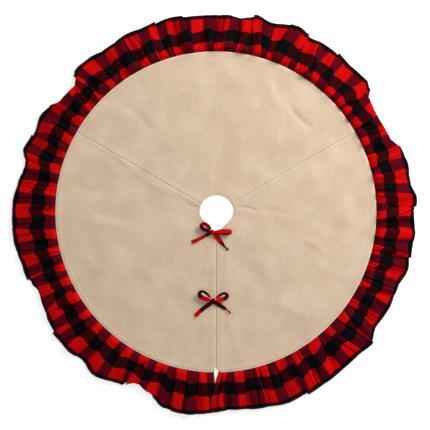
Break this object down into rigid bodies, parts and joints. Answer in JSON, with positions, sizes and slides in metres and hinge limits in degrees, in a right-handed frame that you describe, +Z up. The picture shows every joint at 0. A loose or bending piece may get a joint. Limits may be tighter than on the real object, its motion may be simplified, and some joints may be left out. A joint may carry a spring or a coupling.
{
  "type": "tree skirt",
  "caption": "Round burlap tree skirt with a gathered buffalo-check ruffle, a central trunk hole and a front slit that is closed with ribbon bows; its front quarters fold back.",
  "frame": {"origin": "centre of the trunk hole, on the floor that the skirt lies on", "axes": "+Z up out of the trunk hole, -Y along the front slit, +X to the right seen from the front"},
  "size_m": [1.2286, 1.2161, 0.016],
  "materials": {
    "burlap_natural": "matte coarse plain weave",
    "lining_offwhite": "matte",
    "plaid_cotton": "matte red and black buffalo check",
    "plaid_ribbon": "matte red and black buffalo check",
    "overlock_black": "matte overlock thread",
    "thread_natural": "matte sewing thread"
  },
  "bodies": {
    "rear_half": {"rear_gore": "burlap_natural", "left_gore_rear": "burlap_natural", "right_gore_rear": "burlap_natural", "rear_lining": "lining_offwhite", "rear_hole_facing": "burlap_natural", "left_gore_seam": "burlap_natural", "right_gore_seam": "burlap_natural", "rear_left_ruffle": "plaid_cotton", "rear_right_ruffle": "plaid_cotton", "rear_left_overlock": "overlock_black", "rear_right_overlock": "overlock_black", "rear_rim_stitching": "thread_natural", "rear_hole_stitching": "thread_natural"},
    "left_flap": {"left_gore_front": "burlap_natural", "left_lining": "lining_offwhite", "left_hole_facing": "burlap_natural", "left_slit_hem": "burlap_natural", "left_ruffle": "plaid_cotton", "left_ruffle_end_hem": "plaid_cotton", "left_overlock": "overlock_black", "left_rim_stitching": "thread_natural", "left_hole_stitching": "thread_natural", "left_hem_stitching": "thread_natural", "left_tie_tacks": "thread_natural", "upper_left_tie": "plaid_ribbon", "lower_left_tie": "plaid_ribbon", "upper_knot": "plaid_ribbon", "lower_knot": "plaid_ribbon"},
    "right_flap": {"right_gore_front": "burlap_natural", "right_lining": "lining_offwhite", "right_hole_facing": "burlap_natural", "right_slit_hem": "burlap_natural", "right_ruffle": "plaid_cotton", "right_ruffle_end_hem": "plaid_cotton", "right_overlock": "overlock_black", "right_rim_stitching": "thread_natural", "right_hole_stitching": "thread_natural", "right_hem_stitching": "thread_natural", "right_tie_tacks": "thread_natural", "upper_right_tie": "plaid_ribbon", "lower_right_tie": "plaid_ribbon"},
    "lower_left_loop": {"lower_left_loop": "plaid_ribbon"},
    "lower_left_tail": {"lower_left_tail": "plaid_ribbon"},
    "lower_right_loop": {"lower_right_loop": "plaid_ribbon"},
    "lower_right_tail": {"lower_right_tail": "plaid_ribbon"},
    "upper_left_loop": {"upper_left_loop": "plaid_ribbon"},
    "upper_left_tail": {"upper_left_tail": "plaid_ribbon"},
    "upper_right_loop": {"upper_right_loop": "plaid_ribbon"},
    "upper_right_tail": {"upper_right_tail": "plaid_ribbon"}
  },
  "joints": [
    {"name": "left_flap_fold", "type": "hinge", "parent": "rear_half", "child": "left_flap", "pos_m": [0, 0, 0.012], "axis": [-1, 0, 0], "range_deg": [0, 174]},
    {"name": "right_flap_fold", "type": "hinge", "parent": "rear_half", "child": "right_flap", "pos_m": [0, 0, 0.012], "axis": [-1, 0, 0], "range_deg": [0, 174]},
    {"name": "upper_left_loop_swing", "type": "hinge", "parent": "left_flap", "child": "upper_left_loop", "pos_m": [-0.0085, -0.06, 0.009], "axis": [0, 0, 1], "range_deg": [-3, 12]},
    {"name": "upper_left_tail_swing", "type": "hinge", "parent": "left_flap", "child": "upper_left_tail", "pos_m": [-0.0085, -0.06, 0.009], "axis": [0, 0, 1], "range_deg": [-15, 15]},
    {"name": "upper_right_loop_swing", "type": "hinge", "parent": "right_flap", "child": "upper_right_loop", "pos_m": [-0.0085, -0.06, 0.009], "axis": [0, 0, 1], "range_deg": [-12, 6]},
    {"name": "upper_right_tail_swing", "type": "hinge", "parent": "right_flap", "child": "upper_right_tail", "pos_m": [-0.0085, -0.06, 0.009], "axis": [0, 0, 1], "range_deg": [-15, 15]},
    {"name": "lower_left_loop_swing", "type": "hinge", "parent": "left_flap", "child": "lower_left_loop", "pos_m": [-0.0085, -0.268, 0.009], "axis": [0, 0, 1], "range_deg": [-10, 10]},
    {"name": "lower_left_tail_swing", "type": "hinge", "parent": "left_flap", "child": "lower_left_tail", "pos_m": [-0.0085, -0.268, 0.009], "axis": [0, 0, 1], "range_deg": [-15, 15]},
    {"name": "lower_right_loop_swing", "type": "hinge", "parent": "right_flap", "child": "lower_right_loop", "pos_m": [-0.0085, -0.268, 0.009], "axis": [0, 0, 1], "range_deg": [-10, 10]},
    {"name": "lower_right_tail_swing", "type": "hinge", "parent": "right_flap", "child": "lower_right_tail", "pos_m": [-0.0085, -0.268, 0.009], "axis": [0, 0, 1], "range_deg": [-15, 15]}
  ]
}
